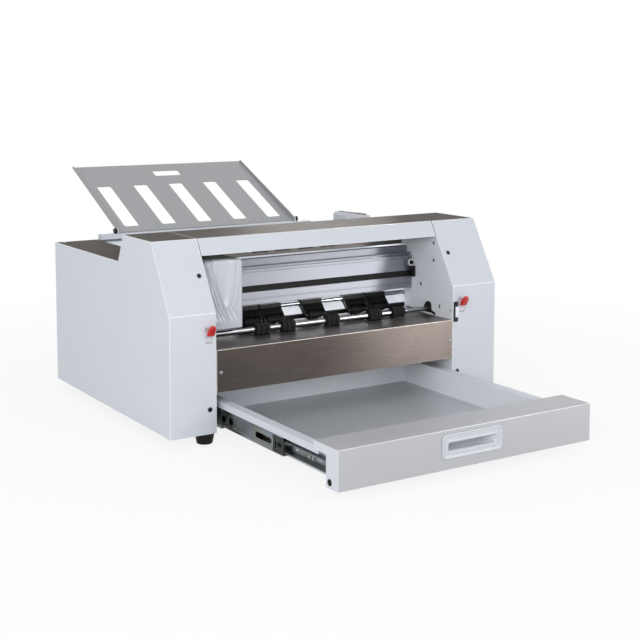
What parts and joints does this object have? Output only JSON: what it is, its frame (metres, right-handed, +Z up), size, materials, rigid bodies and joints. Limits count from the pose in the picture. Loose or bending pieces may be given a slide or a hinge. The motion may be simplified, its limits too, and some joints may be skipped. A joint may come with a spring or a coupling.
{
  "type": "desktop die cutter",
  "caption": "Sheet-fed desktop cutting machine with a carriage on a beam, pinch and exit rollers, a tilting slotted feed tray and a catch drawer on slides.",
  "frame": {"origin": "bottom centre of the bounding box, drawer open and tray leaning back", "axes": "+X right as seen from the front, +Y back, +Z up"},
  "size_m": [0.64, 1.0376, 0.3927],
  "materials": {
    "paint_white": "satin",
    "paint_silver": "satin",
    "stainless": "brushed",
    "zinc_plate": "satin",
    "alloy": "satin",
    "moulded_white": "satin",
    "black_plastic": "satin",
    "gloss_black": "gloss",
    "rubber": "matte",
    "red_plastic": "gloss",
    "circuit_board": "satin"
  },
  "bodies": {
    "housing": {"left_cover": "paint_white", "right_cover": "paint_white", "header_cover": "paint_white", "left_frame_plate": "paint_white", "right_frame_plate": "paint_white", "rear_panel": "paint_white", "feed_ramp": "paint_white", "tray_bar": "paint_white", "left_top_sheet": "stainless", "header_top_sheet": "stainless", "right_top_sheet": "stainless", "exit_table": "stainless", "base_pan": "zinc_plate", "cross_member": "zinc_plate", "power_supply": "zinc_plate", "left_slide_outer": "zinc_plate", "right_slide_outer": "zinc_plate", "gantry_beam": "alloy", "control_pod": "moulded_white", "cutting_strip": "black_plastic", "infeed_guide": "black_plastic", "idler_bracket": "black_plastic", "power_inlet": "black_plastic", "carriage_motor": "black_plastic", "feed_motor": "black_plastic", "touch_panel": "gloss_black", "edge_sensor": "gloss_black", "foot_front_left": "rubber", "foot_front_right": "rubber", "foot_rear_left": "rubber", "foot_rear_right": "rubber", "carriage_belt": "rubber", "control_board": "circuit_board"},
    "drawer": {"drawer_box": "paint_white", "drawer_front": "paint_silver", "drawer_pull": "moulded_white", "left_slide_inner": "zinc_plate", "right_slide_inner": "zinc_plate"},
    "left_middle_slide": {"left_slide_middle": "zinc_plate"},
    "right_middle_slide": {"right_slide_middle": "zinc_plate"},
    "carriage": {"carriage_base": "alloy", "carriage_cover": "moulded_white"},
    "blade": {"blade_holder": "black_plastic"},
    "motor_pulley": {"motor_pulley": "stainless"},
    "idler_pulley": {"idler_pulley": "stainless"},
    "drive_roller": {"drive_roller": "stainless"},
    "exit_shaft": {"exit_shaft": "stainless"},
    "pinch_frame": {"pinch_frame": "black_plastic"},
    "pickup_roller": {"pickup_roller": "rubber"},
    "feed_tray": {"feed_tray": "paint_silver"},
    "left_lever": {"left_release_lever": "red_plastic"},
    "right_lever": {"right_release_lever": "red_plastic"},
    "power_switch": {"power_switch": "black_plastic"},
    "pinch_roller_1": {"pinch_roller_1": "rubber"},
    "pinch_roller_2": {"pinch_roller_2": "rubber"},
    "pinch_roller_3": {"pinch_roller_3": "rubber"},
    "pinch_roller_4": {"pinch_roller_4": "rubber"},
    "pinch_roller_5": {"pinch_roller_5": "rubber"}
  },
  "joints": [
    {"name": "drawer_slide", "type": "slide", "parent": "housing", "child": "drawer", "axis": [0, -1, 0], "range_m": [-0.34, 0]},
    {"name": "left_slide_run", "type": "slide", "parent": "housing", "child": "left_middle_slide", "axis": [0, -1, 0], "range_m": [-0.19, 0.001]},
    {"name": "right_slide_run", "type": "slide", "parent": "housing", "child": "right_middle_slide", "axis": [0, -1, 0], "range_m": [-0.19, 0.001]},
    {"name": "carriage_travel", "type": "slide", "parent": "housing", "child": "carriage", "axis": [1, 0, 0], "range_m": [0, 0.37]},
    {"name": "motor_pulley_spin", "type": "hinge", "parent": "housing", "child": "motor_pulley", "pos_m": [-0.27, -0.04652, 0.216], "axis": [0, 0, 1], "range_deg": [-5, 2660]},
    {"name": "idler_pulley_spin", "type": "hinge", "parent": "housing", "child": "idler_pulley", "pos_m": [0.215, -0.04652, 0.216], "axis": [0, 0, 1], "range_deg": [-5, 2660]},
    {"name": "blade_lift", "type": "slide", "parent": "carriage", "child": "blade", "axis": [0, 0, 1], "range_m": [-0.0022, 0], "stiffness_N_per_m": 400, "springref_m": 0.003},
    {"name": "drive_roller_spin", "type": "hinge", "parent": "housing", "child": "drive_roller", "pos_m": [-0.0075, -0.04852, 0.142], "axis": [1, 0, 0], "continuous": true},
    {"name": "exit_shaft_spin", "type": "hinge", "parent": "housing", "child": "exit_shaft", "pos_m": [-0.0075, -0.10152, 0.1575], "axis": [1, 0, 0], "continuous": true},
    {"name": "pinch_lift", "type": "hinge", "parent": "housing", "child": "pinch_frame", "pos_m": [-0.0075, -0.03052, 0.1775], "axis": [-1, 0, 0], "range_deg": [0, 8]},
    {"name": "pickup_roller_spin", "type": "hinge", "parent": "housing", "child": "pickup_roller", "pos_m": [-0.0075, 0.03148, 0.18897], "axis": [1, 0, 0], "continuous": true},
    {"name": "tray_tilt", "type": "hinge", "parent": "housing", "child": "feed_tray", "pos_m": [-0.0075, 0.29348, 0.285], "axis": [1, 0, 0], "range_deg": [0, 120]},
    {"name": "left_lever_turn", "type": "hinge", "parent": "housing", "child": "left_lever", "pos_m": [-0.252, -0.16952, 0.1645], "axis": [1, 0, 0], "range_deg": [-0.5, 50.5]},
    {"name": "right_lever_turn", "type": "hinge", "parent": "housing", "child": "right_lever", "pos_m": [0.245, -0.16952, 0.1645], "axis": [1, 0, 0], "range_deg": [-0.5, 50.5]},
    {"name": "power_rocker", "type": "hinge", "parent": "housing", "child": "power_switch", "pos_m": [-0.278, 0.30028, 0.094], "axis": [1, 0, 0], "range_deg": [0, 10]},
    {"name": "pinch_roller_spin_1", "type": "hinge", "parent": "pinch_frame", "child": "pinch_roller_1", "pos_m": [-0.107, -0.04852, 0.1579], "axis": [1, 0, 0], "continuous": true},
    {"name": "pinch_roller_spin_2", "type": "hinge", "parent": "pinch_frame", "child": "pinch_roller_2", "pos_m": [-0.0622, -0.04852, 0.1579], "axis": [1, 0, 0], "continuous": true},
    {"name": "pinch_roller_spin_3", "type": "hinge", "parent": "pinch_frame", "child": "pinch_roller_3", "pos_m": [0.021, -0.04852, 0.1579], "axis": [1, 0, 0], "continuous": true},
    {"name": "pinch_roller_spin_4", "type": "hinge", "parent": "pinch_frame", "child": "pinch_roller_4", "pos_m": [0.1106, -0.04852, 0.1579], "axis": [1, 0, 0], "continuous": true},
    {"name": "pinch_roller_spin_5", "type": "hinge", "parent": "pinch_frame", "child": "pinch_roller_5", "pos_m": [0.15668, -0.04852, 0.1579], "axis": [1, 0, 0], "continuous": true}
  ],
  "couplings": [
    {"joint": "left_slide_run", "follows": "drawer_slide", "ratio": 0.55},
    {"joint": "right_slide_run", "follows": "drawer_slide", "ratio": 0.55},
    {"joint": "motor_pulley_spin", "follows": "carriage_travel", "rad_per_m": 125},
    {"joint": "idler_pulley_spin", "follows": "carriage_travel", "rad_per_m": 125},
    {"joint": "exit_shaft_spin", "follows": "drive_roller_spin", "ratio": -0.8},
    {"joint": "left_lever_turn", "follows": "pinch_lift", "ratio": 6.25},
    {"joint": "right_lever_turn", "follows": "pinch_lift", "ratio": 6.25},
    {"joint": "pinch_roller_spin_1", "follows": "drive_roller_spin", "ratio": -1.0667},
    {"joint": "pinch_roller_spin_2", "follows": "drive_roller_spin", "ratio": -1.0667},
    {"joint": "pinch_roller_spin_3", "follows": "drive_roller_spin", "ratio": -1.0667},
    {"joint": "pinch_roller_spin_4", "follows": "drive_roller_spin", "ratio": -1.0667},
    {"joint": "pinch_roller_spin_5", "follows": "drive_roller_spin", "ratio": -1.0667}
  ]
}
